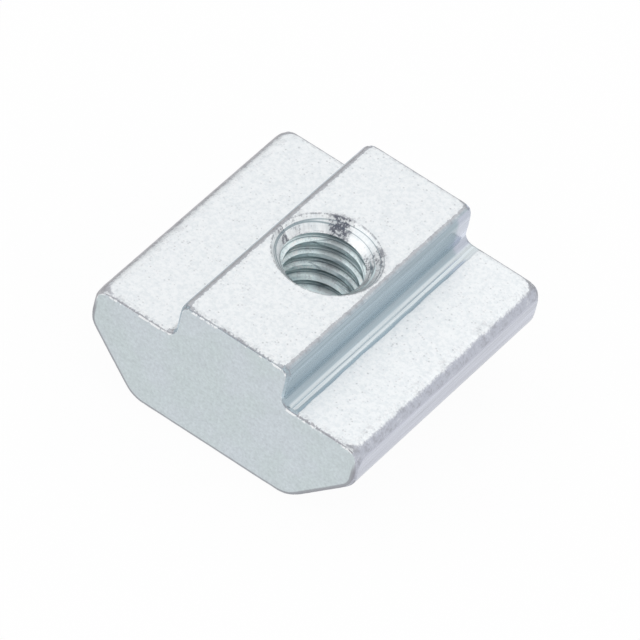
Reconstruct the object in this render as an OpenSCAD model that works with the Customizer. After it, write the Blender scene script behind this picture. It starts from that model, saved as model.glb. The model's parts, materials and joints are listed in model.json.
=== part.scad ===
// Sliding T-slot nut for an aluminium profile with an 8 mm slot, tapped M6.
// It is cut from a drawn steel bar. The bar's section lies in X and Z, and Y runs
// along the slot. The origin is the middle of the flat underside.

/* [Body] */
// Width across the two wings
body_w = 19.5; // [17:0.1:24]
// Length along the slot
body_l = 19.5; // [14:0.1:40]
// Height from the flat underside to the top of the neck
body_h = 9.5; // [8.4:0.1:12]
// Height of the wing tops, which clamp under the lips of the slot
wing_h = 6.75; // [5.6:0.05:7.4]
// Rise of the 45 degree slope under each wing
slope_h = 3.95; // [3:0.05:4.4]

/* [Neck] */
// Width of the neck, which stands up between the lips
neck_w = 8; // [7.2:0.05:9]
// Width of the shallow groove beside the root of the neck
groove_w = 0.4; // [0.3:0.05:0.8]
// Depth of that groove
groove_d = 0.06; // [0.03:0.01:0.12]

/* [Rounding] */
// Radius along the top edges of the neck
neck_top_r = 0.6; // [0.4:0.05:0.8]
// Radius in the root between the neck and a wing
neck_root_r = 0.6; // [0.4:0.05:0.8]
// Radius along the top edge of a wing
wing_top_r = 0.9; // [0.4:0.05:1]
// Radius where a wing's side turns into the slope
wing_side_r = 0.8; // [0.4:0.05:1.5]
// Radius where the slope turns into the underside
base_r = 1.9; // [0.8:0.1:2.4]
// Bevel round the two sawn ends
end_bevel = 0.3; // [0.1:0.05:0.35]

/* [Threaded hole] */
// Inner diameter of the M6 thread, as drilled for the tap
tap_drill_d = 5; // [3.3:0.1:6]
// Diameter of the 90 degree countersink in the top of the neck
top_sink_d = 6.9; // [6.2:0.1:7.1]
// Diameter of the 90 degree countersink in the underside
base_sink_d = 6.4; // [6.2:0.1:7]

/* [Hidden] */
$fn = 96;

// How far a cutting shape reaches past the face that it cuts
past = 0.5;
// How far two cuts that meet on a smooth line lap over each other
lap = 0.1;
// An outer rounding is this much larger than one that just touches its two sides
hair = 0.0005;
// How much larger than its kite a corner's cutting sector is drawn
sector_scale = 3;
// Most of the neck's height that each of its two roundings may take
round_share = 0.45;

// Half of the flat underside
base_half = body_w / 2 - slope_h;
// Roundings of the neck, kept to its height
neck_round_max = round_share * (body_h - wing_h);
top_r = min(neck_top_r, neck_round_max);
root_r = min(neck_root_r, neck_round_max);

// Corners of one half of the bar's section, from the underside up: x, z, radius
half_corners = [
    [base_half, 0, base_r],
    [body_w / 2, slope_h, wing_side_r],
    [body_w / 2, wing_h, wing_top_r],
    [neck_w / 2, wing_h, root_r],
    [neck_w / 2, body_h, top_r],
];
half_count = len(half_corners);

// The whole section, counterclockwise: the right half going up, the left half coming down
corners = [
    for (c = half_corners) c,
    for (i = [half_count - 1 : -1 : 0]) [-half_corners[i][0], half_corners[i][1], half_corners[i][2]],
];
corner_count = len(corners);

function corner(i) = corners[(i + corner_count) % corner_count];
function place(i) = [corner(i)[0], corner(i)[1]];
function radius(i) = corner(i)[2];

// Direction of the side that runs from corner i to the next one
function side_dir(i) = (place(i + 1) - place(i)) / norm(place(i + 1) - place(i));

// Angle through which the outline turns at corner i, positive where the corner stands out
function turn(i) =
    asin(side_dir(i - 1)[0] * side_dir(i)[1] - side_dir(i - 1)[1] * side_dir(i)[0]);
function stands_out(i) = turn(i) > 0;

// Where the rounding of corner i starts and ends on its two sides
function tangent_len(i) = radius(i) * tan(abs(turn(i)) / 2);
function arc_start(i) = place(i) - tangent_len(i) * side_dir(i - 1);
function arc_end(i) = place(i) + tangent_len(i) * side_dir(i);
// Direction into the metal, square to the side that runs from corner i
function inward(i) = [-side_dir(i)[1], side_dir(i)[0]];
// Middle of the arc of corner i
function arc_centre(i) =
    arc_end(i) + (stands_out(i) ? 1 : -1) * radius(i) * inward(i);

// Outline with each inner corner carried out to the middle of its arc, ready for the arc's cut
outline = [
    for (i = [0 : corner_count - 1])
        each stands_out(i) ? [place(i)] : [arc_start(i), arc_centre(i), arc_end(i)]
];

// Radius of the arc that gives the shallow groove its width and depth
groove_r = (pow(groove_w / 2, 2) + pow(groove_d, 2)) / (2 * groove_d);
// The groove starts this far outside the root's rounding
groove_gap = 0.1;
groove_x = neck_w / 2 + root_r + groove_gap + groove_w / 2;

// The kite between corner i and the middle of its arc, drawn larger about that middle.
// An inner corner's kite laps over the two sides that it joins.
module arc_sector(i) {
    c = arc_centre(i);
    over = stands_out(i) ? 0 : lap;
    kite = [c, arc_start(i) - over * side_dir(i - 1), place(i), arc_end(i) + over * side_dir(i)];
    polygon([for (p = kite) c + sector_scale * (p - c)]);
}

// Section of one groove: the bottom of a circle that sinks into the wing top
module groove_section() {
    intersection() {
        translate([0, groove_r - groove_d]) circle(groove_r);
        translate([-groove_w / 2 - lap, -groove_d - past])
            square([groove_w + 2 * lap, groove_d + past + lap]);
    }
}

// Section of the bar, with its inner corners rounded and the grooves cut
module inner_rounded_section() {
    difference() {
        polygon(outline);
        for (i = [0 : corner_count - 1])
            if (!stands_out(i)) translate(arc_centre(i)) circle(radius(i));
        for (side = [-1, 1]) translate([side * groove_x, wing_h]) groove_section();
    }
}

// Lays a section drawn in X and Y upright, so that its Y is the nut's Z, along the slot
module along_slot(length) {
    rotate([90, 0, 0]) linear_extrude(length, center = true) children();
}

// What is cut from an outer corner: all of it outside a bevelled round bar
module outer_corner_cut(i) {
    r = radius(i) + hair;
    half_l = body_l / 2;
    difference() {
        along_slot(body_l + 2 * past) arc_sector(i);
        translate([arc_centre(i)[0], 0, arc_centre(i)[1]]) rotate([90, 0, 0]) rotate_extrude()
            polygon([
                [0, -half_l - past],
                [r - end_bevel, -half_l - past],
                [r - end_bevel, -half_l],
                [r, end_bevel - half_l],
                [r, half_l - end_bevel],
                [r - end_bevel, half_l],
                [r - end_bevel, half_l + past],
                [0, half_l + past],
            ]);
    }
}

// Bevel of the sawn end along the rounding of inner corner i
module inner_corner_bevel(i) {
    r = radius(i);
    intersection() {
        along_slot(body_l + 2 * past) arc_sector(i);
        for (end = [-1, 1])
            translate([arc_centre(i)[0], end * (body_l / 2 - end_bevel), arc_centre(i)[1]])
                rotate([end * -90, 0, 0])
                    cylinder(h = end_bevel + past, r1 = r, r2 = r + end_bevel + past);
    }
}

// Bevel of the sawn end along the straight side from corner i to the next one. It laps
// over the rounding of an outer corner, where that corner's own cut goes deeper.
module side_bevel(i) {
    from = arc_end(i) - (stands_out(i) ? lap : 0) * side_dir(i);
    to = arc_start(i + 1) + (stands_out(i + 1) ? lap : 0) * side_dir(i);
    run = norm(to - from);
    for (end = [-1, 1])
        multmatrix([
            [inward(i)[0], 0, side_dir(i)[0], from[0]],
            [0, -end, 0, end * body_l / 2],
            [inward(i)[1], 0, side_dir(i)[1], from[1]],
        ])
            linear_extrude(run)
                polygon([[-past, -past], [end_bevel + past, -past], [-past, end_bevel + past]]);
}

// Hole down through the neck, as drilled before it is tapped, with its two countersinks
module threaded_hole() {
    bore_r = tap_drill_d / 2;
    top_depth = top_sink_d / 2 - bore_r;
    base_depth = base_sink_d / 2 - bore_r;
    translate([0, 0, -past]) cylinder(h = body_h + 2 * past, r = bore_r);
    translate([0, 0, body_h - top_depth])
        cylinder(h = top_depth + past, r1 = bore_r, r2 = top_sink_d / 2 + past);
    translate([0, 0, -past])
        cylinder(h = base_depth + past, r1 = base_sink_d / 2 + past, r2 = bore_r);
}

module nut_body() {
    color([0.83, 0.86, 0.88])
        difference() {
            along_slot(body_l) inner_rounded_section();
            for (i = [0 : corner_count - 1]) {
                if (stands_out(i)) outer_corner_cut(i);
                else inner_corner_bevel(i);
                side_bevel(i);
            }
            threaded_hole();
        }
}

nut_body();
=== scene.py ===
"""T slot nut for an aluminium profile with an 8 mm slot: a drawn steel bar, tapped M6 and zinc plated.

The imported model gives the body's box, the height of the wing tops and the radius of the tapped bore.
Geometry nodes round the bar's section, carry it along the slot, wear its edges and cut the thread."""

import json
import math
from types import SimpleNamespace
import bpy
from bpy.props import FloatProperty, FloatVectorProperty, IntProperty, PointerProperty
from mathutils import Matrix, Vector


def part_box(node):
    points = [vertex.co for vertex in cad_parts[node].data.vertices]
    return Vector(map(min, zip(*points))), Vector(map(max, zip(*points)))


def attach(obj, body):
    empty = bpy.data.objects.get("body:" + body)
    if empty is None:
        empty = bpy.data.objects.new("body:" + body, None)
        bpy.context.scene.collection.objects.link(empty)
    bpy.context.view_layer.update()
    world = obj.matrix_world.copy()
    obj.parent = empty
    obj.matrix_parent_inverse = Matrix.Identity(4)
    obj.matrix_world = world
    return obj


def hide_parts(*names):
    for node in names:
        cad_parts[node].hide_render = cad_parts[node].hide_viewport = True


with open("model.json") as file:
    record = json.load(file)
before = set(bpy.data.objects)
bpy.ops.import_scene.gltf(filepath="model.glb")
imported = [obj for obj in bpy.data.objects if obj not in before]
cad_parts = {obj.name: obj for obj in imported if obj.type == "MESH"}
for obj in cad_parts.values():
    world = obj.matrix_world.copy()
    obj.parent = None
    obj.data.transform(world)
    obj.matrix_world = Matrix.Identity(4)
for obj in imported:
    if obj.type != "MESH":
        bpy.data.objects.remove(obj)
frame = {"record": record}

bl_info = {
    "name": "T slot nut",
    "version": (1, 0, 0),
    "blender": (4, 5, 0),
    "location": "View3D > Sidebar > Slot nut",
    "description": "Builds a zinc plated T slot nut with its thread and worn edges, and a small studio",
    "category": "Add Mesh",
}

MM = 0.001

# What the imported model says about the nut
LOW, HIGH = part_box("nut_body")
MOUNTS = {mount["name"]: mount for mount in frame["record"]["mounts"]}
BORE_DIAMETER = 2 * MOUNTS["thread"]["dims"]["r_mm"] * MM
WING_HEIGHT = MOUNTS["right_wing_top"]["pos_m"][2]


def setting(kind, **limits):
    """A function that makes one kind of setting, which a user can change."""

    def make(name, description, default):
        return kind(name=name, description=description, default=default, **limits)

    return make


# Kinds of setting: a length in metres, a colour in linear light, an angle in radians, and 0 to 1
length = setting(FloatProperty, min=0, precision=5, subtype="DISTANCE", unit="LENGTH")
colour = setting(FloatVectorProperty, size=3, min=0, max=1, subtype="COLOR")
angle = setting(FloatProperty, subtype="ANGLE")
share = setting(FloatProperty, min=0, max=1, subtype="FACTOR")


class NutSizes(bpy.types.PropertyGroup):
    """Sizes of the drawn bar, its tapped hole and the wear of its edges."""

    body_width: length("Body width", "Width across the two wings", HIGH.x - LOW.x)
    body_length: length("Body length", "Length along the slot", HIGH.y - LOW.y)
    body_height: length("Body height", "From the underside to the top of the neck", HIGH.z - LOW.z)
    wing_height: length("Wing height", "Height of the wing tops over the underside", WING_HEIGHT)
    slope_height: length("Slope height", "Rise of the 45 degree slope under each wing", 3.95 * MM)
    neck_width: length("Neck width", "Width of the neck between the lips of the slot", 8 * MM)
    neck_top_round: length("Neck top rounding", "Radius along the neck's top edges", 0.6 * MM)
    neck_root_round: length("Neck root rounding", "Radius between the neck and a wing", 0.6 * MM)
    wing_top_round: length("Wing top rounding", "Radius along a wing's top edge", 0.9 * MM)
    wing_side_round: length("Wing side rounding", "Radius where a wing's side meets the slope", 1.4 * MM)
    base_round: length("Base rounding", "Radius where the slope meets the underside", 1.9 * MM)
    end_round: length("End rounding", "Radius round the two sawn ends", 0.3 * MM)
    groove_gap: length("Groove gap", "Flat strip between the root's rounding and the groove", 0.1 * MM)
    groove_width: length("Groove width", "Width of the shallow groove beside the root", 0.4 * MM)
    groove_depth: length("Groove depth", "Depth of that groove", 0.032 * MM)
    groove_wave: length("Groove wave", "How far the groove's outer edge wanders", 0.09 * MM)
    left_groove: share("Left groove", "Depth of the left groove as a share of the right one", 0.35)
    hole_offset: FloatVectorProperty(
        name="Hole offset", description="How far the drill ran off the middle", size=2,
        default=(-0.087 * MM, -0.066 * MM), subtype="XYZ", unit="LENGTH", precision=5,
    )
    bore_diameter: length("Bore diameter", "Inner diameter of the thread", BORE_DIAMETER)
    thread_diameter: length("Thread diameter", "Outer diameter of the M6 thread", 6 * MM)
    thread_pitch: length("Thread pitch", "Rise of the thread in one turn", 1 * MM)
    thread_start: share("Thread start", "Share of a turn by which the thread is turned", 0.0)
    top_sink: length("Top countersink", "Diameter of the countersink in the neck's top", 6.9 * MM)
    base_sink: length("Base countersink", "Diameter of the countersink in the underside", 6.4 * MM)
    wear_depth: length("Wear depth", "How deep the edges are rubbed", 0.025 * MM)
    wear_grain: length("Wear grain", "Size of the marks along the edges", 0.45 * MM)
    corner_wear: length("Corner wear", "How deep the corners are rubbed", 0.12 * MM)
    wear_seed: IntProperty(
        name="Wear seed", description="Picks the pattern of the wear", default=3, min=0
    )


class NutFinish(bpy.types.PropertyGroup):
    """Colours of the zinc plate on each kind of surface, and the sizes of its marks."""

    top: colour("Matte top", "Tumbled top of the neck and of the wings", (0.907, 0.932, 0.948))
    # Painted shade: the neck's side colour is darker to stand in for the dimmer light that reaches it
    neck_side: colour("Neck side", "Drawn side of the neck and its root", (0.435, 0.522, 0.578))
    strip: colour("Strip", "Drawn strip beside the root", (0.7, 0.76, 0.79))
    wing_side: colour("Wing side", "Drawn outer side of a wing", (0.53, 0.553, 0.63))
    sawn_end: colour("Sawn end", "The two cut ends", (0.59, 0.655, 0.672))
    cone: colour("Countersink", "Turned cones of the countersinks", (0.95, 0.97, 0.98))
    thread: colour("Thread", "Flanks and crests of the thread", (0.83, 0.935, 0.945))
    rubbed: colour("Rubbed edge", "Plate on the roundings", (0.54, 0.555, 0.585))
    # The steep left roundings take this darker brown-grey
    bare: colour("Bare edge", "Dull metal along the left edges", (0.46, 0.455, 0.475))
    # Worn spot also paints shade along the ends' lower edges, and a dark reflection in the thread
    worn: colour("Worn spot", "Steel that shows in pits and rubbed marks", (0.3, 0.3, 0.33))
    # Glint paints highlights into the colour: below the end seams, and with polished plate on the edges
    glint: colour("Glint", "Plate polished by rubbing, along the edges", (0.93, 0.94, 0.95))
    # Ring also paints the shade in the thread's root
    ring: colour("Ring", "Thin scored lines of the countersink and the thread", (0.24, 0.33, 0.37))
    # Torn spot also paints the dark reflection where the countersink mirrors the camera
    torn: colour("Torn spot", "Steel that shows where the countersink is torn", (0.1, 0.11, 0.15))
    # Tint also paints the lighter back end of the neck's side
    tint: colour("Passivation tint", "Lavender cast of the passivated zinc", (0.7, 0.7, 0.82))
    speck_size: length("Speck size", "Width of the pits in the tumbled faces", 0.16 * MM)
    line_width: length("Draw line width", "Width of the lines that drawing left", 0.16 * MM)
    ring_width: length("Ring width", "Width of the turned rings of a countersink", 0.14 * MM)


class NutStudio(bpy.types.PropertyGroup):
    """The camera, the floor and the light."""

    camera_azimuth: angle("Camera azimuth", "To the right of the near sawn end", math.radians(25.03))
    camera_elevation: angle("Camera elevation", "Height over the horizon", math.radians(44.34))
    camera_roll: angle("Camera roll", "Turn about its own line of sight", math.radians(14.45))
    camera_distance: length("Camera distance", "From the point that it aims at", 528.4 * MM)
    camera_lens: FloatProperty(
        name="Lens", description="Focal length for a 36 mm sensor", default=496.05, unit="CAMERA"
    )
    camera_aim: FloatVectorProperty(
        name="Camera aim", description="Point in the middle of the picture", size=3,
        default=(0.542 * MM, -0.158 * MM, 4.369 * MM), subtype="XYZ", unit="LENGTH", precision=5,
    )
    floor_colour: colour("Floor", "Pale paper under the nut", (0.95, 0.95, 0.95))
    floor_width: length("Floor width", "Side of the square sheet of paper", 2.0)
    floor_glow: share("Floor glow", "How much of the paper's look is plain white", 0.95)
    wall_colour: colour("Back wall", "Grey wall that the roundings reflect", (0.58, 0.58, 0.58))
    sky_level: FloatProperty(
        name="Tent level", description="Light of the tent all round", default=1.0, min=0
    )


class Term:
    """What a node gives out. Sums, products and comparisons with it add Math nodes to its tree."""

    def __init__(self, wiring, socket):
        self.wiring = wiring
        self.socket = socket

    def __add__(self, other):
        return self.wiring.math("ADD", self, other)

    def __radd__(self, other):
        return self.wiring.math("ADD", other, self)

    def __sub__(self, other):
        return self.wiring.math("SUBTRACT", self, other)

    def __rsub__(self, other):
        return self.wiring.math("SUBTRACT", other, self)

    def __mul__(self, other):
        return self.wiring.math("MULTIPLY", self, other)

    def __rmul__(self, other):
        return self.wiring.math("MULTIPLY", other, self)

    def __truediv__(self, other):
        return self.wiring.math("DIVIDE", self, other)

    def __rtruediv__(self, other):
        return self.wiring.math("DIVIDE", other, self)

    def __gt__(self, other):
        return self.wiring.math("GREATER_THAN", self, other)

    def __lt__(self, other):
        return self.wiring.math("LESS_THAN", self, other)

    def __neg__(self):
        return self * -1

    def __abs__(self):
        return self.wiring.math("ABSOLUTE", self)


class Wiring:
    """Adds nodes to one tree. A value is a number, a colour, a vector, or another node's output."""

    def __init__(self, tree):
        self.tree = tree

    def feed(self, socket, value):
        """Links another node's output to a socket, or sets the socket's own value."""
        value = getattr(value, "socket", value)
        if isinstance(value, bpy.types.NodeSocket):
            self.tree.links.new(value, socket)
        else:
            socket.default_value = value

    def node(self, kind, *values, **options):
        """A node with its options and the values of its first inputs. None leaves one as it is."""
        made = self.tree.nodes.new(kind)
        for name, option in options.items():
            setattr(made, name, option)
        for socket, value in zip(made.inputs, values):
            if value is not None:
                self.feed(socket, value)
        return made

    def out(self, kind, *values, pick=0, **options):
        """One output of a new node."""
        return self.node(kind, *values, **options).outputs[pick]

    def math(self, operation, *values):
        """The result of a Math node."""
        return Term(self, self.out("ShaderNodeMath", *values, operation=operation))

    def most(self, first, *others):
        """The largest of some numbers."""
        for other in others:
            first = self.math("MAXIMUM", first, other)
        return first

    def reach(self, x, y):
        """How far a place is from the Z axis."""
        return self.math("SQRT", x * x + y * y)

    def vector(self, x, y, z):
        """A vector made of three numbers."""
        return self.out("ShaderNodeCombineXYZ", x, y, z)

    def split(self, vector):
        """The three numbers of a vector."""
        parts = self.node("ShaderNodeSeparateXYZ", vector)
        return [Term(self, part) for part in parts.outputs]

    def vector_math(self, operation, *values):
        """The vector that a Vector Math node gives out."""
        return self.out("ShaderNodeVectorMath", *values, operation=operation)

    def scaled(self, vector, factor):
        """A vector times a number."""
        made = self.node("ShaderNodeVectorMath", vector, operation="SCALE")
        self.feed(made.inputs["Scale"], factor)
        return made.outputs["Vector"]

    def dot(self, one, other):
        """The dot product of two vectors."""
        made = self.node("ShaderNodeVectorMath", one, other, operation="DOT_PRODUCT")
        return Term(self, made.outputs["Value"])

    def ramp(self, value, start, end, low=0.0, high=1.0, smooth=True):
        """A number that goes from low to high while value goes from start to end."""
        kind = "SMOOTHSTEP" if smooth else "LINEAR"
        made = self.node("ShaderNodeMapRange", value, start, end, low, high, interpolation_type=kind)
        return Term(self, made.outputs["Result"])

    def band(self, value, start, full, fade, end):
        """A number that is 0 up to start, 1 from full to fade and 0 again from end on."""
        return self.ramp(value, start, full) * self.ramp(value, end, fade)

    def mixed(self, factor, one, other):
        """A colour between two others. A Mix node's sockets 6, 7 and 2 are the ones for colours."""
        made = self.node("ShaderNodeMix", factor, data_type="RGBA")
        self.feed(made.inputs[6], one)
        self.feed(made.inputs[7], other)
        return made.outputs[2]

    def noise(self, vector, scale, detail=2.0, roughness=0.5, seed=0.0):
        """A noise from 0 to 1, with scale in waves per metre."""
        made = self.node("ShaderNodeTexNoise", noise_dimensions="4D")
        for name, value in {
            "Vector": vector, "W": seed, "Scale": scale, "Detail": detail, "Roughness": roughness,
        }.items():
            self.feed(made.inputs[name], value)
        return Term(self, made.outputs[0])


# Kinds of socket that take a plain number, by the kind of its property
NUMBER_SOCKETS = {"INT": "NodeSocketInt", "FLOAT": "NodeSocketFloat"}


def tree_inputs(tree, sizes):
    """Gives a geometry tree one named input for each size, and returns their identifiers by property."""
    identifiers = {}
    for prop in sizes.bl_rna.properties:
        if prop.identifier not in sizes.__annotations__:
            continue
        kind = "NodeSocketVector" if prop.is_array else NUMBER_SOCKETS[prop.type]
        socket = tree.interface.new_socket(name=prop.name, in_out="INPUT", socket_type=kind)
        socket.description = prop.description
        if not prop.is_array:
            socket.default_value = prop.default
        if kind == "NodeSocketFloat":
            socket.subtype = prop.subtype
        identifiers[prop.identifier] = socket.identifier
    return identifiers


# Geometry: the drawn bar

# Points on each rounding of the section, and the spacing of the others beside the root and elsewhere
ARC_POINTS = 12
FINE_STEP = 0.04 * MM
COARSE_STEP = 0.28 * MM
# Stations of the section: on each end's rounding, within its flat face, and between the ends
END_RINGS = 6
CAP_RINGS = 2
CAP_STEP = 0.07 * MM
MIDDLE_STATIONS = 130
# Two places that are nearer than this are the same
TINY = 0.001 * MM
# Width of the waves in the groove's outer edge
WANDER = 1.1 * MM
# Shape of the groove: below 1, it is deepest near the neck
BOWL_POWER = 0.75
# How far the drawn metal reaches past the neck's left side, and its soft border
NECK_REACH = 0.1 * MM
DRAWN_BORDER = (0.03 * MM, -0.01 * MM)
# Share of the neck's top rounding that was tumbled white
TUMBLED_SHARE = 0.22
# What counts as an edge or a corner to be rubbed, and as an edge that the materials read: steps of
# smoothing, and how far a point stands out of the smoothed surface where it starts and is full
EDGE_RUB = (10, 0.0, 0.05 * MM)
CORNER_RUB = (30, 0.1 * MM, 0.17 * MM)
EDGE_MASK = (8, 0.0, 0.04 * MM)


def choose(w, index, values):
    """The value with that index."""
    made = w.node("GeometryNodeIndexSwitch", data_type="FLOAT")
    while len(made.index_switch_items) < len(values):
        made.index_switch_items.new()
    for socket, value in zip(made.inputs, [index, *values]):
        w.feed(socket, value)
    return Term(w, made.outputs[0])


def capture(w, geometry, kind, value):
    """Keeps a value on the geometry's points as it is now. Returns the geometry and the kept value."""
    made = w.node("GeometryNodeCaptureAttribute", geometry, domain="POINT")
    made.capture_items.new(kind, "kept")
    w.feed(made.inputs[1], value)
    return made.outputs[0], Term(w, made.outputs[1])


def carried(w, section, count, kind, value):
    """A section at that many stations, closed at both ends, and a value as it is at each station."""
    path = w.out("GeometryNodeCurvePrimitiveLine", None, (0.0, 1.0, 0.0))
    path = w.out("GeometryNodeResampleCurve", path, None, count, mode="COUNT")
    path, kept = capture(w, path, kind, value)
    solid = w.node("GeometryNodeCurveToMesh", path, section)
    solid.inputs["Fill Caps"].default_value = True
    return solid.outputs[0], kept


def position(w):
    """Where a point is."""
    return w.out("GeometryNodeInputPosition")


def strip_end(size):
    """How far the smooth drawn strip beside the root reaches from the middle."""
    beside_neck = size["neck_width"] / 2 + size["neck_root_round"]
    return beside_neck + size["groove_gap"] + size["groove_width"] + size["groove_wave"]


def half_corners(size):
    """Corners of the section's right half from the underside up: x, z and radius."""
    half_body = size["body_width"] / 2
    half_neck = size["neck_width"] / 2
    return [
        (half_body - size["slope_height"], 0.0, size["base_round"]),
        (half_body, size["slope_height"], size["wing_side_round"]),
        (half_body, size["wing_height"], size["wing_top_round"]),
        (strip_end(size), size["wing_height"], 0.0),
        (half_neck, size["wing_height"], size["neck_root_round"]),
        (half_neck, size["body_height"], size["neck_top_round"]),
    ]


def bar_section(w, size):
    """The closed outline of the bar in X and Z, with its arcs, and with close points beside the root."""
    corners = half_corners(size)
    count = 2 * len(corners)
    index = Term(w, w.out("GeometryNodeInputIndex"))
    half = w.math("MINIMUM", index, count - 1 - index)
    side = 1 - 2 * (index > len(corners) - 0.5)
    x = side * choose(w, half, [corner[0] for corner in corners])
    z = choose(w, half, [corner[1] for corner in corners])
    loop = w.out("GeometryNodeCurvePrimitiveCircle", count)
    loop = w.out("GeometryNodeSetPosition", loop, None, w.vector(x, 0.0, z))
    radius = choose(w, half, [corner[2] for corner in corners])
    rounded = w.out("GeometryNodeFilletCurve", loop, ARC_POINTS, radius, mode="POLY")

    place = position(w)
    points = w.out("GeometryNodeSplineLength", pick=1)
    next_index = w.math("MODULO", index + 1, points)
    after = w.out("GeometryNodeFieldAtIndex", place, next_index, data_type="FLOAT_VECTOR")
    step = w.node("ShaderNodeVectorMath", place, after, operation="DISTANCE").outputs["Value"]
    middle_x, _, middle_z = w.split(w.scaled(w.vector_math("ADD", place, after), 0.5))
    beside_root = abs(middle_x) < strip_end(size)
    on_wing = w.math("COMPARE", middle_z, size["wing_height"], TINY)
    spacing = COARSE_STEP + (FINE_STEP - COARSE_STEP) * beside_root * on_wing
    cuts = w.math("CEIL", Term(w, step) / spacing) - 1
    return w.out("GeometryNodeSubdivideCurve", rounded, cuts)


def blank_bar(w, size):
    """The solid bar: the section at many stations along Y, drawn in to round the two ends."""
    section = bar_section(w, size)
    tangent_x, _, tangent_z = w.split(w.out("GeometryNodeInputTangent"))
    outward = w.vector_math("NORMALIZE", w.vector(tangent_z, 0.0, -tangent_x))
    section, place = capture(w, section, "VECTOR", position(w))
    section, outward = capture(w, section, "VECTOR", outward)

    last = 2 * (CAP_RINGS + END_RINGS) + MIDDLE_STATIONS
    index = Term(w, w.out("GeometryNodeInputIndex"))
    from_end = w.math("MINIMUM", index, last - index)
    side = w.math("SIGN", last / 2 - index)
    turn = w.ramp(from_end, CAP_RINGS, CAP_RINGS + END_RINGS, 0.0, math.pi / 2, smooth=False)
    cap = w.most(CAP_RINGS - from_end, 0.0) * CAP_STEP
    inset = size["end_round"] * (1 - w.math("SINE", turn)) + cap
    along = w.most(from_end - (CAP_RINGS + END_RINGS), 0.0) / MIDDLE_STATIONS
    depth = size["end_round"] * (1 - w.math("COSINE", turn))
    depth = depth + along * (size["body_length"] - 2 * size["end_round"])
    station = w.vector(inset, side * (size["body_length"] / 2 - depth), 0.0)
    bar, station = carried(w, section, last + 1, "VECTOR", station)
    inset, y, _ = w.split(station)
    x, _, z = w.split(w.vector_math("SUBTRACT", place, w.scaled(outward, inset)))
    z = z - groove_drop(w, size, x, y, z)
    return w.out("GeometryNodeSetPosition", bar, None, w.vector(x, y, z))


def groove_sides(w, size, y):
    """Where the groove beside the root starts and ends. Its outer side wanders along Y."""
    inner = size["neck_width"] / 2 + size["neck_root_round"] + size["groove_gap"]
    wander = w.noise(w.vector(0.0, y, 0.0), 1 / WANDER, detail=3.0, seed=size["wear_seed"])
    return inner, inner + size["groove_width"] + (wander - 0.5) * size["groove_wave"] * 2


def drawn_metal(w, size):
    """1 on the neck's sides and the smooth strip beside its right root, and 0 on the tumbled tops.

    The right strip reaches to the groove's outer side. The left root was tumbled up to the neck."""
    x, y, z = w.split(position(w))
    _, outer = groove_sides(w, size, y)
    neck = size["neck_width"] / 2 + NECK_REACH
    reach = neck + (outer - neck) * (x > 0.0)
    inside = w.ramp(abs(x) - reach, *DRAWN_BORDER)
    return inside * (z < size["body_height"] - TUMBLED_SHARE * size["neck_top_round"])


def groove_drop(w, size, x, y, z):
    """How far the wing top sinks in the groove beside the root."""
    inner, outer = groove_sides(w, size, y)
    across = abs(x) - inner
    width = outer - inner
    place = w.ramp(across / width, 0.0, 1.0, 0.0, 1.0, smooth=False)
    bowl = w.math("SINE", w.math("POWER", place, BOWL_POWER) * math.pi)
    on_wing = w.math("COMPARE", z, size["wing_height"], TINY)
    shallower = (x < 0.0) * (1 - size["left_groove"])
    return bowl * size["groove_depth"] * (1 - shallower) * on_wing


def worn(w, size, bar):
    """The bar with its edges rubbed unevenly and its corners rubbed round."""
    place = position(w)
    normal = w.out("GeometryNodeInputNormal")
    bar, edge = capture(w, bar, "FLOAT", stand_out(w, *EDGE_RUB))
    bar, corner = capture(w, bar, "FLOAT", stand_out(w, *CORNER_RUB))
    bar, normal = capture(w, bar, "VECTOR", normal)
    grain = w.noise(place, 1 / size["wear_grain"], detail=4.0, roughness=0.6, seed=size["wear_seed"])
    rub = (grain - 0.5) * -2 * size["wear_depth"] * edge - corner * size["corner_wear"]
    bar = w.out("GeometryNodeSetPosition", bar, None, None, w.scaled(normal, rub))
    return stored(w, bar, "corner", corner)


def stored(w, geometry, name, value):
    """Stores a value on the points, where a material can read it."""
    return w.out(
        "GeometryNodeStoreNamedAttribute", geometry, None, name, value, data_type="FLOAT", domain="POINT"
    )


def stand_out(w, steps, low, high):
    """From 0 to 1 where a point stands out from low to high above the smoothed surface."""
    place = position(w)
    smoothed = w.out("GeometryNodeBlurAttribute", place, steps, data_type="FLOAT_VECTOR")
    off = w.vector_math("SUBTRACT", place, smoothed)
    return w.ramp(w.dot(off, w.out("GeometryNodeInputNormal")), low, high)


# Geometry: the tapped hole

# Sides of the hole, rings down a countersink, and stations on one turn of the thread
HOLE_SIDES = 144
CONE_RINGS = 24
TURN_STEPS = 96
# How far a cutter reaches past a face, and how far two cutters lap over each other
PAST = 0.5 * MM
LAP = 0.1 * MM
# The thread: half the angle between its flanks, and half the width of its flat root in pitches
FLANK_ANGLE = math.radians(30)
ROOT_SHARE = 1 / 16
# How far a face points up or down: less than HOLE_TILT in the hole, and about CONE_TILT on a cone
HOLE_TILT = 0.95
CONE_TILT = math.sqrt(0.5)
CONE_TILT_SLACK = 0.06
# Edges that turn by less than this are shaded smooth
CREASE_ANGLE = math.radians(32)


def moved_up(w, geometry, height):
    """Geometry moved along Z."""
    return w.out("GeometryNodeTransform", geometry, w.vector(0.0, 0.0, height))


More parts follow.
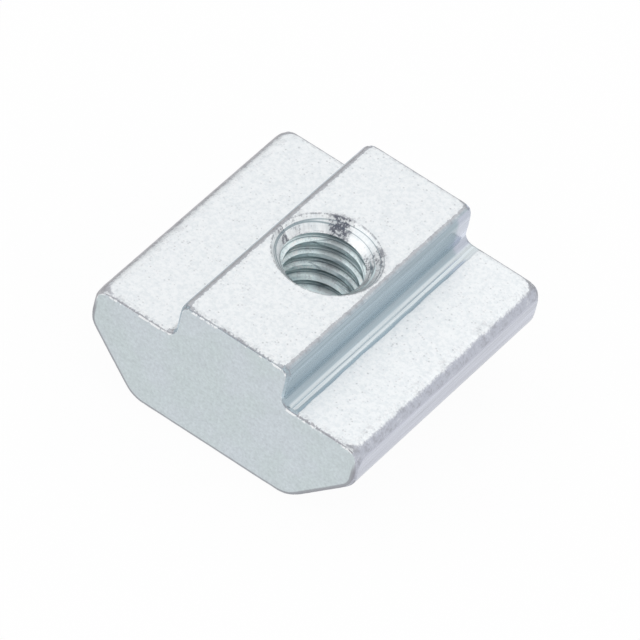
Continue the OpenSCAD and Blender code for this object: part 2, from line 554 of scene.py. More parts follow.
def hole_cutters(w, size):
    """The drill, the two countersinks and the tap, which the body is cut with."""
    height = size["body_height"]
    bore = size["bore_diameter"] / 2
    drill = w.out("GeometryNodeMeshCylinder", HOLE_SIDES, 1, 1, bore, height + 2 * PAST)
    drill = moved_up(w, drill, height / 2)
    narrow = bore - LAP
    top_wide = size["top_sink"] / 2 + PAST
    top_depth = size["top_sink"] / 2 - bore + PAST + LAP
    top = w.out("GeometryNodeMeshCone", HOLE_SIDES, CONE_RINGS, 1, top_wide, narrow, top_depth)
    top = moved_up(w, top, height + PAST - top_depth)
    base_wide = size["base_sink"] / 2 + PAST
    base_depth = size["base_sink"] / 2 - bore + PAST + LAP
    base = w.out("GeometryNodeMeshCone", HOLE_SIDES, CONE_RINGS, 1, narrow, base_wide, base_depth)
    base = moved_up(w, base, -PAST)
    cutters = (drill, top, base, tap(w, size))
    return [w.out("GeometryNodeTransform", cutter, size["hole_offset"]) for cutter in cutters]


def tap(w, size):
    """A right-hand helix of the thread's groove: flanks at 60 degrees and a narrow flat root."""
    pitch = size["thread_pitch"]
    inner = size["bore_diameter"] / 2 - LAP
    outer = size["thread_diameter"] / 2
    root = pitch * ROOT_SHARE
    mouth = root + (outer - inner) * math.tan(FLANK_ANGLE)
    index = Term(w, w.out("GeometryNodeInputIndex"))
    radius = choose(w, index, [inner, outer, outer, inner])
    offset = choose(w, index, [mouth, root, -root, -mouth])
    groove = w.out("GeometryNodeCurvePrimitiveCircle", 4)
    groove, shape = capture(w, groove, "VECTOR", w.vector(radius, offset, 0.0))

    turns = w.math("CEIL", size["body_height"] / pitch) + 2
    thread, turned = carried(w, groove, turns * TURN_STEPS + 1, "FLOAT", index / TURN_STEPS)
    radius, offset, _ = w.split(shape)
    turn = (turned + size["thread_start"]) * math.tau
    rise = (turned - 1) * pitch + offset
    place = w.vector(w.math("COSINE", turn) * radius, w.math("SINE", turn) * radius, rise)
    return w.out("GeometryNodeSetPosition", thread, None, place)


def hole_faces(w, size):
    """Which faces lie in the tapped hole, and which of them on a countersink's cone."""
    x, y, _ = w.split(w.vector_math("SUBTRACT", position(w), size["hole_offset"]))
    _, _, facing = w.split(w.out("GeometryNodeInputNormal", pick=1))
    tilt = abs(facing)
    in_hole = (w.reach(x, y) < size["top_sink"] / 2 - TINY) * (tilt < HOLE_TILT)
    on_cone = in_hole * w.math("COMPARE", tilt, CONE_TILT, CONE_TILT_SLACK)
    return in_hole, on_cone


def nut_tree(materials, sizes):
    """The geometry tree of the whole nut."""
    tree = bpy.data.node_groups.new("Slot nut", "GeometryNodeTree")
    tree.is_modifier = True
    tree.interface.new_socket(name="Geometry", in_out="OUTPUT", socket_type="NodeSocketGeometry")
    identifiers = tree_inputs(tree, sizes)
    w = Wiring(tree)
    entry = w.node("NodeGroupInput")
    size = {}
    for name, identifier in identifiers.items():
        size[name] = Term(w, next(s for s in entry.outputs if s.identifier == identifier))

    body = worn(w, size, blank_bar(w, size))
    cut = w.node("GeometryNodeMeshBoolean", body, operation="DIFFERENCE", solver="MANIFOLD")
    for cutter in hole_cutters(w, size):
        w.feed(cut.inputs["Mesh 2"], cutter)
    nut = cut.outputs[0]

    nut = stored(w, nut, "edge", stand_out(w, *EDGE_MASK))
    nut = stored(w, nut, "drawn", drawn_metal(w, size))
    smooth = Term(w, w.out("GeometryNodeInputMeshEdgeAngle")) < CREASE_ANGLE
    nut = w.out("GeometryNodeSetShadeSmooth", nut, None, True, domain="FACE")
    nut = w.out("GeometryNodeSetShadeSmooth", nut, None, smooth, domain="EDGE")
    nut = w.out("GeometryNodeRealizeInstances", nut)
    in_hole, on_cone = hole_faces(w, size)
    nut = w.out("GeometryNodeSetMaterial", nut, None, materials["plate"])
    nut = w.out("GeometryNodeSetMaterial", nut, in_hole, materials["thread"])
    nut = w.out("GeometryNodeSetMaterial", nut, on_cone, materials["cone"])
    w.feed(w.node("NodeGroupOutput").inputs[0], nut)
    return tree, identifiers


def build_mesh(name, tree, identifiers, sizes):
    """Runs a geometry tree on an empty mesh and returns the result as an object with a plain mesh."""
    holder = bpy.data.objects.new(name + "_holder", bpy.data.meshes.new(name + "_holder"))
    bpy.context.collection.objects.link(holder)
    modifier = holder.modifiers.new("Slot nut", "NODES")
    modifier.node_group = tree
    for prop, identifier in identifiers.items():
        value = getattr(sizes, prop)
        modifier[identifier] = (*value, 0.0) if hasattr(value, "__len__") else value
    seen = holder.evaluated_get(bpy.context.evaluated_depsgraph_get())
    mesh = bpy.data.meshes.new_from_object(seen)
    mesh.name = name
    # The empty slot that the tree leaves would come before the three materials
    for index in reversed(range(len(mesh.materials))):
        if mesh.materials[index] is None:
            mesh.materials.pop(index=index)
    bpy.data.objects.remove(holder)
    piece = bpy.data.objects.new(name, mesh)
    bpy.context.collection.objects.link(piece)
    if not mesh.polygons:
        raise RuntimeError(f"the geometry tree of {name} gave no faces")
    return piece


# Finish: marks that several surfaces share

MARK_GROUPS = {}
# Kinds of the groups' sockets that aren't plain numbers
MARK_SOCKETS = {"Vector": "NodeSocketVector", "Colour": "NodeSocketColor", "Tint": "NodeSocketColor"}

# How far, and over what width, the borders between the cells of the specks are bent
SPECK_BEND = 0.08 * MM
SPECK_BEND_WIDTH = 0.1 * MM


def rgba(value):
    """A colour with full alpha, as a node's socket takes it."""
    return (*value, 1.0)


def mark_sockets(group, labels, in_out):
    """Gives a shader node group its named inputs or outputs."""
    for label in labels:
        kind = MARK_SOCKETS.get(label, "NodeSocketFloat")
        group.interface.new_socket(name=label, in_out=in_out, socket_type=kind)


def mark_group(name, fill, labels):
    """A shader node group with those inputs. fill(w, given) returns its outputs by name."""
    group = bpy.data.node_groups.new(name, "ShaderNodeTree")
    mark_sockets(group, labels, "INPUT")
    w = Wiring(group)
    entry = w.node("NodeGroupInput")
    results = fill(w, {label: Term(w, entry.outputs[label]) for label in labels})
    mark_sockets(group, results, "OUTPUT")
    ending = w.node("NodeGroupOutput")
    for label, value in results.items():
        w.feed(ending.inputs[label], value)
    return group


def placed(w, name, fill, **values):
    """One use of a shader node group, which is built at its first use. Returns its outputs by name."""
    if name not in MARK_GROUPS:
        MARK_GROUPS[name] = mark_group(name, fill, values)
    made = w.node("ShaderNodeGroup", node_tree=MARK_GROUPS[name])
    for label, value in values.items():
        w.feed(made.inputs[label], value)
    return {socket.name: Term(w, socket) for socket in made.outputs}


def specks(w, vector, size, amount, seed):
    """Small scattered pits. The mask is 1 in a pit, and amount is the share of cells with one."""

    def fill(g, given):
        bend = g.node("ShaderNodeTexNoise", given["Vector"], noise_dimensions="3D")
        bend.inputs["Scale"].default_value = 1 / SPECK_BEND_WIDTH
        bent = g.vector_math("ADD", given["Vector"], g.scaled(bend.outputs["Color"], SPECK_BEND))
        cells = g.node("ShaderNodeTexVoronoi", voronoi_dimensions="4D", feature="F1")
        g.feed(cells.inputs["Vector"], bent)
        g.feed(cells.inputs["W"], given["Seed"])
        g.feed(cells.inputs["Scale"], 1 / given["Size"])
        chance, depth, _ = g.split(cells.outputs["Color"])
        near = g.ramp(cells.outputs["Distance"], 0.6, 0.15)
        return {"Mask": (chance < given["Amount"]) * near * (0.35 + 0.65 * depth)}

    return placed(w, "specks", fill, Vector=vector, Size=size, Amount=amount, Seed=seed)["Mask"]


def tool_lines(w, vector):
    """Lines that a tool or a die left. One line is one unit of the vector wide.

    Line is about 0.5 in the middle, and Scratch is 1 in a few thin lines among them."""

    def fill(g, given):
        fine = g.noise(given["Vector"], 1.0, detail=3.0, roughness=0.65, seed=1.0)
        broad = g.noise(given["Vector"], 0.3, detail=1.0, seed=2.0)
        line = g.ramp(fine * 0.6 + broad * 0.4, 0.3, 0.7, smooth=False)
        crossing = abs(broad - 0.5)
        return {"Line": line, "Scratch": g.ramp(crossing, 0.03, 0.008)}

    return placed(w, "tool lines", fill, Vector=vector)


def edge_wear(w, vector, edge, size):
    """Fine dark and bright marks, only where edge is high. It goes from 0 to 1."""

    def fill(g, given):
        scale = 1 / given["Size"]
        coarse = g.noise(given["Vector"], scale * 0.3, detail=2.0, seed=5.0)
        fine = g.noise(given["Vector"], scale, detail=3.0, roughness=0.75, seed=6.0)
        marks = fine * 0.6 + coarse * 0.4
        dark = g.ramp(marks, 0.47, 0.62) * g.ramp(given["Edge"], 0.1, 0.6)
        # The bright marks are polished plate and painted highlight
        bright = g.ramp(marks, 0.45, 0.33) * g.ramp(given["Edge"], 0.3, 0.8)
        return {"Dark": dark, "Bright": bright}

    return placed(w, "edge wear", fill, Vector=vector, Edge=edge, Size=size)


def clouded(w, vector, base, tint, size, amount):
    """A colour that drifts towards a tint in soft clouds, and a little in brightness."""

    def fill(g, given):
        scale = 1 / given["Size"]
        cloud = g.noise(given["Vector"], scale, detail=3.0, roughness=0.6, seed=8.0)
        light = g.noise(given["Vector"], scale * 2.3, detail=3.0, roughness=0.6, seed=9.0)
        drift = g.ramp(cloud, 0.38, 0.66) * given["Amount"]
        tinted = g.mixed(drift, given["Colour"], given["Tint"])
        level = 1 + (light - 0.5) * given["Amount"] * 0.5
        return {"Colour": g.scaled(tinted, level)}

    values = {"Vector": vector, "Colour": rgba(base), "Tint": rgba(tint), "Size": size, "Amount": amount}
    return placed(w, "passivation clouds", fill, **values)["Colour"]


# Middle angle, half width in degrees and strength of the dark patches round the top countersink
# The patch at 109 degrees, where the cone mirrors the camera, is a painted dark reflection
DARK_PATCHES = [(109, 12, 1.3), (-178, 13, 0.8), (160, 14, 0.35), (44, 13, 0.75), (15, 14, 0.4)]
# Width of the torn marks, and how far past the rim they end and are full
TORN_WIDTH = 0.26 * MM
TORN_FADE = (0.45 * MM, -0.1 * MM)
# How far from the rim the frayed lip ends and is full
LIP_FADE = (0.09 * MM, 0.02 * MM)
# Heights between which the marks set in, so that the lower countersink has none
TORN_HEIGHTS = (6 * MM, 7 * MM)


def torn_marks_and_dark_reflection(w, vector, rim):
    """Torn dark marks on the countersink, and a painted reflection. They run out a little way past its
    rim.
    """

    def fill(g, given):
        x, y, z = g.split(given["Vector"])
        turn = g.math("ARCTAN2", y, x)
        patch = 0.0
        for middle, half, strength in DARK_PATCHES:
            away = abs(turn - math.radians(middle))
            patch = g.ramp(away, math.radians(half * 1.8), math.radians(half * 0.2)) * strength + patch
        past_rim = g.reach(x, y) - given["Rim"]
        patch = g.math("MINIMUM", patch, 1.0)
        fade = g.ramp(past_rim, *TORN_FADE)
        marks = g.noise(given["Vector"], 1 / TORN_WIDTH, detail=4.0, roughness=0.7, seed=22.0)
        torn_and_reflected = g.ramp(marks + patch * fade * 0.15, 0.57, 0.68) * g.math("SQRT", patch) * fade
        torn_and_reflected = torn_and_reflected * 0.75 + patch * fade * 0.25
        lip = g.ramp(abs(past_rim), *LIP_FADE) * g.ramp(marks, 0.44, 0.54) * 0.6
        return {"Mask": g.most(torn_and_reflected, lip) * g.ramp(z, *TORN_HEIGHTS)}

    return placed(w, "torn marks", fill, Vector=vector, Rim=rim)["Mask"]


# Finish: what the three materials are made with

BUMP_HEIGHT = 0.01 * MM


def metal(name):
    """A new metal material, its wiring and its shader."""
    material = bpy.data.materials.new(name)
    material.use_nodes = True
    w = Wiring(material.node_tree)
    shader = material.node_tree.nodes["Principled BSDF"]
    shader.inputs["Metallic"].default_value = 1.0
    return material, w, shader


def layered(w, coat, *layers):
    """A colour with marks laid over it in order. A layer is how much of it shows, and its colour."""
    for amount, mark in layers:
        coat = w.mixed(amount, coat, rgba(mark))
    return coat


def dress(w, shader, coat, roughness, height):
    """Gives the shader its colour, its roughness and a height in units of BUMP_HEIGHT."""
    w.feed(shader.inputs["Base Color"], coat)
    w.feed(shader.inputs["Roughness"], roughness)
    bump = w.node("ShaderNodeBump")
    bump.inputs["Strength"].default_value = 1.0
    bump.inputs["Distance"].default_value = BUMP_HEIGHT
    w.feed(bump.inputs["Height"], height)
    w.feed(shader.inputs["Normal"], bump.outputs["Normal"])


def attribute(w, name):
    """A value that the geometry tree stored on the mesh."""
    made = w.node("ShaderNodeAttribute", attribute_name=name)
    return Term(w, made.outputs["Fac"])


def from_hole(w, place, sizes):
    """The place seen from the middle of the tapped hole."""
    offset = sizes.hole_offset
    return w.vector_math("SUBTRACT", place, (offset[0], offset[1], 0.0))


def round_hole(w, moved):
    """The distance from the hole's middle, and the cosine and sine of the turn about it."""
    x, y, _ = w.split(moved)
    radius = w.reach(x, y)
    return radius, x / radius, y / radius


# Finish: the plate of the bar

# Widths of the marks in the plate, from the finest to the broadest
GRAIN = 0.14 * MM
RUB_MARK = 0.15 * MM
NICK = 0.17 * MM
RAG = 0.2 * MM
TOP_CLOUD = 0.22 * MM
BURR = 0.3 * MM
BLOT = 0.35 * MM
GLINT_BREAK = 0.4 * MM
SAW_WAVE = 0.9 * MM
DRIFT = 1.1 * MM
SPECK_CROWD = 2.5 * MM
END_CLOUD = 2.6 * MM
# Length of the lines that drawing left
LINE_LENGTH = 7 * MM
# Shares of the body's width, from its middle, between which the outer part of a wing sets in
OUTER_PART = (0.3, 0.4)
# Shares of that width between which the tops are painted brighter to the right, and how much brighter
PAINTED_LIGHT_WING = (0.15, 0.3)
PAINTED_LIGHT_LEVEL = 1.045
# Shares of the body's length, from its middle, between which the neck's side is painted lighter at the
# back
PAINTED_LIGHT_BACK = (0.405, 0.43)
# How far over the root's rounding the strip's colour and the painted light at the neck's foot reach
STRIP_REACH = 0.2 * MM
FOOT_REACH = 0.9 * MM
# Heights between which the painted shade on the ends' lower edges sets in, going down under the wings
PAINTED_SHADE_HEIGHTS = (6 * MM, 5 * MM)


def plate_spot(w, sizes):
    """What a point of the plate knows: its place, the way it faces, and the wear stored there."""
    coordinates = w.node("ShaderNodeTexCoord")
    place = coordinates.outputs["Object"]
    x, y, z = w.split(place)
    across, along, up = w.split(coordinates.outputs["Normal"])
    inner, outer = (part * sizes.body_width for part in OUTER_PART)
    edge = attribute(w, "edge")
    return SimpleNamespace(
        place=place, x=x, y=y, z=z,
        across=across, along=along, up=up,
        side=abs(across),
        end=abs(along),
        outer=w.ramp(abs(x), inner, outer),
        drawn=attribute(w, "drawn"),
        edge=edge,
        near=w.ramp(edge, 0.02, 0.25),
        ragged=w.noise(place, 1 / RAG, detail=4.0, roughness=0.75, seed=10.0) - 0.5,
    )


def plate_zones(w, spot):
    """How much shows of the tumbled white, of the saw's marks and of the rubbed plate on the roundings.

    The tumbled white ends in a ragged line: soon on the long roundings, late on the end ones."""
    drift = w.noise(spot.place, 1 / DRIFT, detail=2.0, seed=15.0) - 0.5
    lean = spot.side * (1.35 - 0.95 * spot.outer) + 0.28 * spot.end
    lean = lean + 0.45 * w.most(spot.along, 0.0)
    lean = lean + (spot.ragged * 0.8 + drift * 0.35) * (1 - 0.65 * spot.outer)
    tumbled = w.ramp(spot.near * lean, 0.28, 0.16) * w.ramp(spot.up, 0.0, 0.3) * (1 - spot.drawn)
    sawn = w.ramp(spot.end + spot.ragged * 0.04, 0.9, 0.96)
    slope = (spot.side - spot.up) * math.sqrt(0.5)
    flat = w.most(spot.side, spot.end, -spot.up, slope)
    rounded = w.ramp(flat + spot.ragged * 0.06, 0.99, 0.94)
    return tumbled, sawn, rounded * (1 - tumbled) * (1 - spot.drawn) * (1 - sawn)


def drawn_faces(w, finish, sizes, spot):
    """Colour of the drawn faces, and the lines along them.

    The neck's side has painted light at its back end and foot, and painted shade in the root's rounding."""
    width = finish.line_width
    line = tool_lines(w, w.vector(spot.x / width, spot.y / LINE_LENGTH, spot.z / width))
    back, last = (part * sizes.body_length for part in PAINTED_LIGHT_BACK)
    # Painted light: the neck's side is lighter at its back end
    pale = w.ramp(spot.y, back, last) * (spot.z > sizes.wing_height) * (1 - spot.outer)
    root_top = sizes.wing_height + sizes.neck_root_round
    strip = w.ramp(spot.up, 0.85, 1.0) * w.ramp(spot.z, root_top + STRIP_REACH, root_top) * spot.drawn
    # Painted shade in the root's rounding, and painted light at the neck's foot
    root = w.band(spot.up, 0.05, 0.3, 0.8, 0.98) * spot.drawn
    foot = w.ramp(spot.z, root_top + FOOT_REACH, root_top) * w.ramp(spot.up, 0.4, 0.0) * (1 - spot.outer)
    coat = w.mixed(spot.outer, rgba(finish.neck_side), rgba(finish.wing_side))
    coat = layered(w, coat, (pale * 0.55, finish.tint), (strip, finish.strip))
    coat = w.scaled(coat, 0.84 + line["Line"] * 0.32 - line["Scratch"] * 0.08)
    return w.scaled(coat, 1 - root * 0.1 + foot * 0.17), line["Line"]


def sawn_faces(w, finish, spot):
    """Colour of the sawn ends: clouded and grainy."""
    coat = clouded(w, spot.place, finish.sawn_end, finish.tint, END_CLOUD, 0.2)
    grain = w.noise(spot.place, 1 / RAG, detail=3.0, roughness=0.75, seed=18.0)
    return w.scaled(coat, 0.72 + grain * 0.56)


def tumbled_faces(w, finish, sizes, spot):
    """Colour of the tumbled tops: white with fine grey clouds, and painted lighter on the right wing."""
    coat = clouded(w, spot.place, finish.top, finish.neck_side, TOP_CLOUD, 0.2)
    start, end = (part * sizes.body_width for part in PAINTED_LIGHT_WING)
    return w.scaled(coat, w.ramp(spot.x, start, end, 1.0, PAINTED_LIGHT_LEVEL))


def rounded_edges(w, finish, spot):
    """Colour of the roundings: grey, and where they are steep that of the drawn face beside them.

    The left ones are darker there."""
    steep = w.ramp(spot.side, 0.25, 0.6)
    beside = w.mixed(spot.outer, rgba(finish.neck_side), rgba(finish.wing_side))
    beside = w.mixed(w.ramp(spot.across, -0.1, 0.1), rgba(finish.bare), beside)
    return w.mixed(steep * 0.8, rgba(finish.rubbed), beside)


def sawn_seam(w, spot, nicks):
    """The saw's burr, folded over along the top edges of the ends: a broken dark seam with blots."""
    upper = w.ramp(spot.up, 0.1, 0.3)
    seam = w.band(spot.end, 0.66, 0.8, 0.89, 0.95) * upper * w.ramp(nicks, 0.36, 0.5)
    blot = w.noise(spot.place, 1 / BLOT, detail=3.0, roughness=0.7, seed=19.0)
    blots = w.band(spot.end, 0.3, 0.6, 0.9, 0.98) * upper
    return w.most(seam, blots * w.ramp(blot, 0.58, 0.66))


def painted_seam_glint(w, spot):
    """Painted highlights in a broken line just below the seam."""
    breaks = w.noise(spot.place, 1 / GLINT_BREAK, detail=3.0, roughness=0.6, seed=17.0)
    glint = w.band(spot.end, 0.84, 0.91, 0.995, 0.9995) * w.ramp(spot.up, 0.01, 0.08)
    return glint * w.ramp(breaks, 0.49, 0.55)


def plate_material(finish, sizes):
    """Zinc plate on the bar: tumbled tops, drawn sides, sawn ends and rubbed roundings."""
    material, w, shader = metal("zinc_plate")
    spot = plate_spot(w, sizes)
    tumbled, sawn, rubbed = plate_zones(w, spot)
    coat, line = drawn_faces(w, finish, sizes, spot)
    coat = w.mixed(sawn, coat, sawn_faces(w, finish, spot))
    coat = w.mixed(tumbled, coat, tumbled_faces(w, finish, sizes, spot))
    coat = w.mixed(rubbed, coat, rounded_edges(w, finish, spot))

    crowd = w.ramp(w.noise(spot.place, 1 / SPECK_CROWD, detail=2.0, seed=11.0), 0.35, 0.7, 0.08, 0.35)
    pit = specks(w, spot.place, finish.speck_size, crowd, 1.0) * (0.35 + 0.65 * tumbled)
    wear = edge_wear(w, spot.place, spot.near * (rubbed + 0.35 * tumbled), RUB_MARK)
    nicks = w.noise(spot.place, 1 / NICK, detail=3.0, roughness=0.7, seed=16.0)
    seam = sawn_seam(w, spot, nicks)
    chafed = attribute(w, "corner") * w.ramp(nicks, 0.35, 0.55) * (1 - sawn)
    # Painted shade along the ends' lower edges, down under the wings
    under = w.ramp(spot.edge, 0.05, 0.4) * w.ramp(spot.end, 0.5, 0.7) * w.ramp(spot.z, *PAINTED_SHADE_HEIGHTS)
    torn_and_reflected = torn_marks_and_dark_reflection(w, from_hole(w, spot.place, sizes), sizes.top_sink / 2)
    coat = layered(
        w, coat,
        (pit * 0.45, finish.worn),
        (wear["Dark"] * 0.45, finish.worn),
        (wear["Bright"] * 0.4, finish.glint),
        (seam * 0.75, finish.worn),
        (chafed * 0.3, finish.worn),
        (under * 0.75, finish.worn),
        (painted_seam_glint(w, spot) * 0.85, finish.glint),
        (torn_and_reflected * 0.7, finish.torn),
    )

    rough = 0.22 + 0.18 * tumbled + 0.18 * sawn + 0.22 * rubbed + spot.ragged * 0.12
    grain = w.noise(spot.place, 1 / GRAIN, detail=2.0, roughness=0.7, seed=12.0)
    wave = w.noise(spot.place, 1 / SAW_WAVE, detail=2.0, seed=13.0)
    burr = w.noise(spot.place, 1 / BURR, detail=2.0, roughness=0.6, seed=14.0)
    height = grain * (0.1 + 0.35 * tumbled) + wave * 0.6 * sawn - pit * 0.6 - torn_and_reflected - seam * 0.8
    height = height + line * 0.35 * spot.drawn + burr * rubbed * 1.6
    dress(w, shader, coat, rough, height)
    return material


# Finish: the countersinks and the thread

# Widths of the marks in the tapped hole
HOLE_WEAR = 0.13 * MM
STREAK = 0.13 * MM
FLANK_LINE = 0.15 * MM
CHATTER = 0.2 * MM
CONE_CLOUD = 0.9 * MM
THREAD_CLOUD = 0.8 * MM
# How far a line on a flank runs down the thread
FLANK_LINE_DROP = 0.5 * MM


def cone_material(finish, sizes):
    """Turned countersink: lines round the hole, torn marks where the cutter chattered, a painted
    reflection.
    """
    material, w, shader = metal("zinc_countersink")
    place = w.node("ShaderNodeTexCoord").outputs["Object"]
    moved = from_hole(w, place, sizes)
    radius, across, along = round_hole(w, moved)
    ring = tool_lines(w, w.vector(radius / finish.ring_width, across * 0.6, along * 0.6))
    fanned = w.vector(across * sizes.top_sink, along * sizes.top_sink, radius * 0.4)
    streak = w.noise(w.scaled(fanned, 1 / STREAK), 0.5, detail=3.0, roughness=0.7, seed=24.0)
    pit = specks(w, place, finish.speck_size, 0.14, 4.0)
    wear = edge_wear(w, place, attribute(w, "edge"), HOLE_WEAR)
    torn_and_reflected = torn_marks_and_dark_reflection(w, moved, sizes.top_sink / 2)
    coat = clouded(w, place, finish.cone, finish.neck_side, CONE_CLOUD, 0.25)
    coat = w.scaled(coat, 0.66 + ring["Line"] * 0.26 + streak * 0.42)
    coat = layered(
        w, coat,
        (ring["Scratch"] * 0.75, finish.ring),
        (pit * 0.4, finish.worn),
        (wear["Dark"] * 0.35, finish.worn),
        (torn_and_reflected * 0.9, finish.torn),
    )

    left = w.ramp(across, 0.0, -0.8)
    rough = 0.4 + left * 0.14 + torn_and_reflected * 0.1 + (ring["Line"] - 0.5) * 0.2
    chatter = w.noise(moved, 1 / CHATTER, detail=3.0, roughness=0.6, seed=23.0)
    height = ring["Line"] * 0.5 + chatter * 0.5 + streak * 0.7 - torn_and_reflected * 1.5 - ring["Scratch"] * 0.4
    dress(w, shader, coat, rough, height)
    return material


def thread_material(finish, sizes):
    """Tapped thread: pale flanks with fine lines, a dark step along the turns, and painted root shade.
    """
    material, w, shader = metal("zinc_thread")
    place = w.node("ShaderNodeTexCoord").outputs["Object"]
    moved = from_hole(w, place, sizes)
    radius, across, along = round_hole(w, moved)
    _, _, z = w.split(moved)
    line = tool_lines(w, w.vector(radius / FLANK_LINE, across * 2, along * 2 + z / FLANK_LINE_DROP))
    bore = sizes.bore_diameter / 2
    depth = (sizes.thread_diameter - sizes.bore_diameter) / 2
    step = w.ramp(abs(radius - (bore + 0.55 * depth)), 0.09 * depth, 0.02 * depth)
    # Painted shade deep in the thread's root
    root = w.ramp(radius, bore + 0.75 * depth, bore + depth)
    # Painted dark reflection on the side of the thread that mirrors the camera
    painted_dark_reflection = w.ramp(along, 0.7, 0.95) * w.ramp(abs(across + 0.36), 0.45, 0.15)
    wear = edge_wear(w, place, attribute(w, "edge"), HOLE_WEAR)
    coat = clouded(w, place, finish.thread, finish.neck_side, THREAD_CLOUD, 0.25)
    coat = w.scaled(coat, 0.64 + line["Line"] * 0.76)
    coat = layered(
        w, coat,
        (line["Scratch"] * 0.6, finish.ring),
        (painted_dark_reflection * 0.4, finish.worn),
        (w.most(step * 0.6, root * 0.4), finish.ring),
        (wear["Dark"] * 0.4, finish.worn),
    )
    dress(w, shader, coat, 0.36 + (line["Line"] - 0.5) * 0.2, line["Line"] * 0.7 - step * 0.8)
    return material


class NUT_OT_body(bpy.types.Operator):
    """Makes the nut's body with its thread, worn edges and zinc plate"""

    bl_idname = "slot_nut.body"
    bl_label = "Nut body"

    def execute(self, context):
        sizes = context.scene.slot_nut_sizes
        finish = context.scene.slot_nut_finish
        materials = {
            "plate": plate_material(finish, sizes),
            "cone": cone_material(finish, sizes),
            "thread": thread_material(finish, sizes),
        }
        tree, identifiers = nut_tree(materials, sizes)
        nut = build_mesh("slot_nut", tree, identifiers, sizes)
        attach(nut, "root")
        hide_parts("nut_body")
        return {"FINISHED"}


# Stage

# The stage is laid out round the nut, in degrees of azimuth and elevation and in metres.
# Softboxes: azimuth, elevation, distance, width, height, and brightness where the tent's is 1
SOFTBOXES = {
    "softbox_back": (158, 47, 0.6, 0.12, 0.12, 0.2),
    "softbox_front": (-37, 36, 0.6, 0.55, 0.24, 0.25),
}
# Black cards, which only reflections show: azimuth, elevation, distance, width and height
BLACK_CARDS = {
    "card_camera": (24, 58, 0.85, 0.16, 0.6),
    "card_top": (-99, 72, 0.6, 0.1, 0.1),
}
# Curved grey wall at the back: from and to azimuth, distance, height and number of panels
BACK_WALL = (150, 262, 0.7, 0.24, 16)


def from_nut(azimuth, elevation):
    """Direction away from the nut. Azimuth 0 is the side of the near sawn end, and 90 the right wing."""
    a = math.radians(azimuth)
    e = math.radians(elevation)
    return Vector((math.sin(a) * math.cos(e), -math.cos(a) * math.cos(e), math.sin(e)))


def facing_nut(azimuth, elevation, distance, roll=0.0):
    """The pose of something in that direction that looks along its -Z at the nut."""
    back = from_nut(azimuth, elevation)
    right = Vector((0, 0, 1)).cross(back).normalized()
    up = back.cross(right)
    rolled = right * math.cos(roll) + up * math.sin(roll)
    turn = Matrix((rolled, back.cross(rolled), back)).transposed().to_4x4()
    return Matrix.Translation(back * distance) @ turn


def add_camera(scene, studio):
    """The camera, at the photograph's viewing angle."""
    camera = bpy.data.objects.new("camera", bpy.data.cameras.new("camera"))
    scene.collection.objects.link(camera)
    camera.data.sensor_width = 36
    camera.data.lens = studio.camera_lens
    camera.data.clip_start = 0.01
    azimuth = math.degrees(studio.camera_azimuth)
    elevation = math.degrees(studio.camera_elevation)
    pose = facing_nut(azimuth, elevation, studio.camera_distance, studio.camera_roll)
    camera.matrix_world = Matrix.Translation(Vector(studio.camera_aim)) @ pose
    scene.camera = camera


def add_sheet(scene, name, points, faces, material):
    """A thin sheet that belongs to the stage."""
    mesh = bpy.data.meshes.new(name)
    mesh.from_pydata(points, [], faces)
    mesh.materials.append(material)
    sheet = bpy.data.objects.new(name, mesh)
    scene.collection.objects.link(sheet)
    return sheet


def rectangle(width, height, pose):
    """Corners of a rectangle in that pose."""
    x, y = width / 2, height / 2
    return [pose @ Vector(corner) for corner in ((-x, -y, 0), (x, -y, 0), (x, y, 0), (-x, y, 0))]


def add_wall(scene, material):
    """A low curved wall behind the nut. It gives the roundings their dark lines."""
    start, end, distance, height, panels = BACK_WALL
    points = []
    for i in range(panels + 1):
        foot = from_nut(start + (end - start) * i / panels, 0) * distance
        points += [foot, foot + Vector((0, 0, height))]
    faces = [(2 * i, 2 * i + 2, 2 * i + 3, 2 * i + 1) for i in range(panels)]
    return add_sheet(scene, "back_wall", points, faces, material)


def matte(name, value):
    """A plain material without gloss."""
    material = bpy.data.materials.new(name)
    material.use_nodes = True
    shader = material.node_tree.nodes["Principled BSDF"]
    shader.inputs["Base Color"].default_value = rgba(value)
    shader.inputs["Roughness"].default_value = 0.9
    shader.inputs["Specular IOR Level"].default_value = 0.0
    return material


def bright_paper(tone, glow):
    """Paper that looks white to the camera and in reflections, and still shows a soft shadow."""
    material = matte("paper", tone)
    w = Wiring(material.node_tree)
    path = w.node("ShaderNodeLightPath")
    rays = ("Is Camera Ray", "Is Glossy Ray", "Is Transmission Ray")
    seen = w.most(*(path.outputs[ray] for ray in rays))
    white = w.out("ShaderNodeEmission", (1.0, 1.0, 1.0, 1.0), 1.0)
    paper = material.node_tree.nodes["Principled BSDF"].outputs["BSDF"]
    mixed = w.out("ShaderNodeMixShader", seen * glow, paper, white)
    w.feed(material.node_tree.nodes["Material Output"].inputs["Surface"], mixed)
    return material


def add_softbox(scene, name, azimuth, elevation, distance, width, height, brightness):
    """A lamp that faces the nut. A mirror shows its brightness on top of the tent's."""
    lamp = bpy.data.lights.new(name, "AREA")
    lamp.shape = "RECTANGLE"
    lamp.size = width
    lamp.size_y = height
    lamp.energy = brightness * math.pi * width * height
    softbox = bpy.data.objects.new(name, lamp)
    softbox.matrix_world = facing_nut(azimuth, elevation, distance)
    scene.collection.objects.link(softbox)


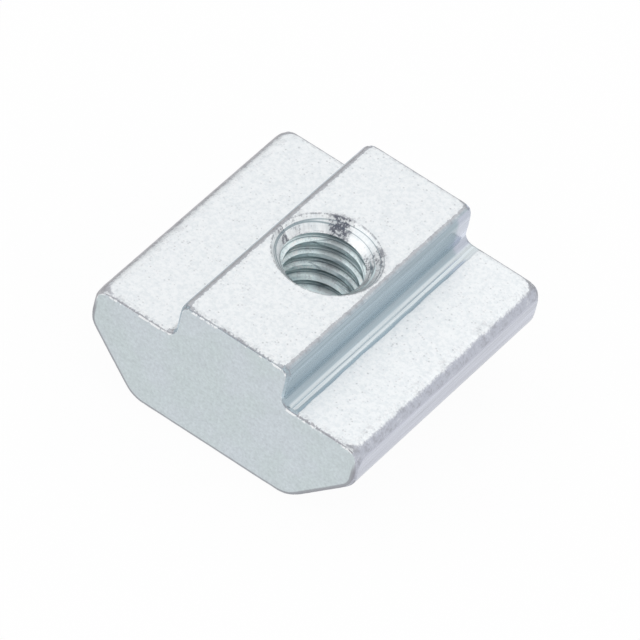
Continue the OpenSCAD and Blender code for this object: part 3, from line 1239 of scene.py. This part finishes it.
class NUT_OT_stage(bpy.types.Operator):
    """Makes the floor, the lamps, the world and the camera"""

    bl_idname = "slot_nut.stage"
    bl_label = "Studio stage"

    def execute(self, context):
        scene = context.scene
        studio = scene.slot_nut_studio
        scene.view_settings.view_transform = "Standard"
        add_camera(scene, studio)
        paper = bright_paper(studio.floor_colour, studio.floor_glow)
        corners = rectangle(studio.floor_width, studio.floor_width, Matrix.Identity(4))
        add_sheet(scene, "floor", corners, [(0, 1, 2, 3)], paper)
        black = matte("black_card", (0.02, 0.02, 0.02))
        unseen = [add_wall(scene, matte("grey_wall", studio.wall_colour))]
        for name, (azimuth, elevation, distance, width, height) in BLACK_CARDS.items():
            corners = rectangle(width, height, facing_nut(azimuth, elevation, distance))
            unseen.append(add_sheet(scene, name, corners, [(0, 1, 2, 3)], black))
        for sheet in unseen:
            sheet.visible_camera = False
        for name, values in SOFTBOXES.items():
            add_softbox(scene, name, *values)
        world = bpy.data.worlds.new("light_tent")
        world.use_nodes = True
        tent = world.node_tree.nodes["Background"]
        tent.inputs["Color"].default_value = (1.0, 1.0, 1.0, 1.0)
        tent.inputs["Strength"].default_value = studio.sky_level
        scene.world = world
        return {"FINISHED"}


class NUT_PT_panel(bpy.types.Panel):
    """Lists the nut's operators and sizes"""

    bl_idname = "NUT_PT_panel"
    bl_label = "Slot nut"
    bl_space_type = "VIEW_3D"
    bl_region_type = "UI"
    bl_category = "Slot nut"

    def draw(self, context):
        column = self.layout.column()
        column.operator(NUT_OT_body.bl_idname)
        column.operator(NUT_OT_stage.bl_idname)
        for group_name, group in SETTINGS.items():
            for name in group.__annotations__:
                column.prop(getattr(context.scene, group_name), name)


SETTINGS = {"slot_nut_sizes": NutSizes, "slot_nut_finish": NutFinish, "slot_nut_studio": NutStudio}
CLASSES = (*SETTINGS.values(), NUT_OT_body, NUT_OT_stage, NUT_PT_panel)


def register():
    """Registers the classes and hangs the three groups of settings on the scene."""
    for cls in CLASSES:
        bpy.utils.register_class(cls)
    for name, group in SETTINGS.items():
        setattr(bpy.types.Scene, name, PointerProperty(type=group))


def unregister():
    """Takes the settings off the scene again and unregisters the classes."""
    for name in SETTINGS:
        delattr(bpy.types.Scene, name)
    for cls in reversed(CLASSES):
        bpy.utils.unregister_class(cls)


def main():
    """Makes the nut and its stage."""
    register()
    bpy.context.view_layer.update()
    bpy.ops.slot_nut.body()
    bpy.ops.slot_nut.stage()


if __name__ == "__main__":
    main()
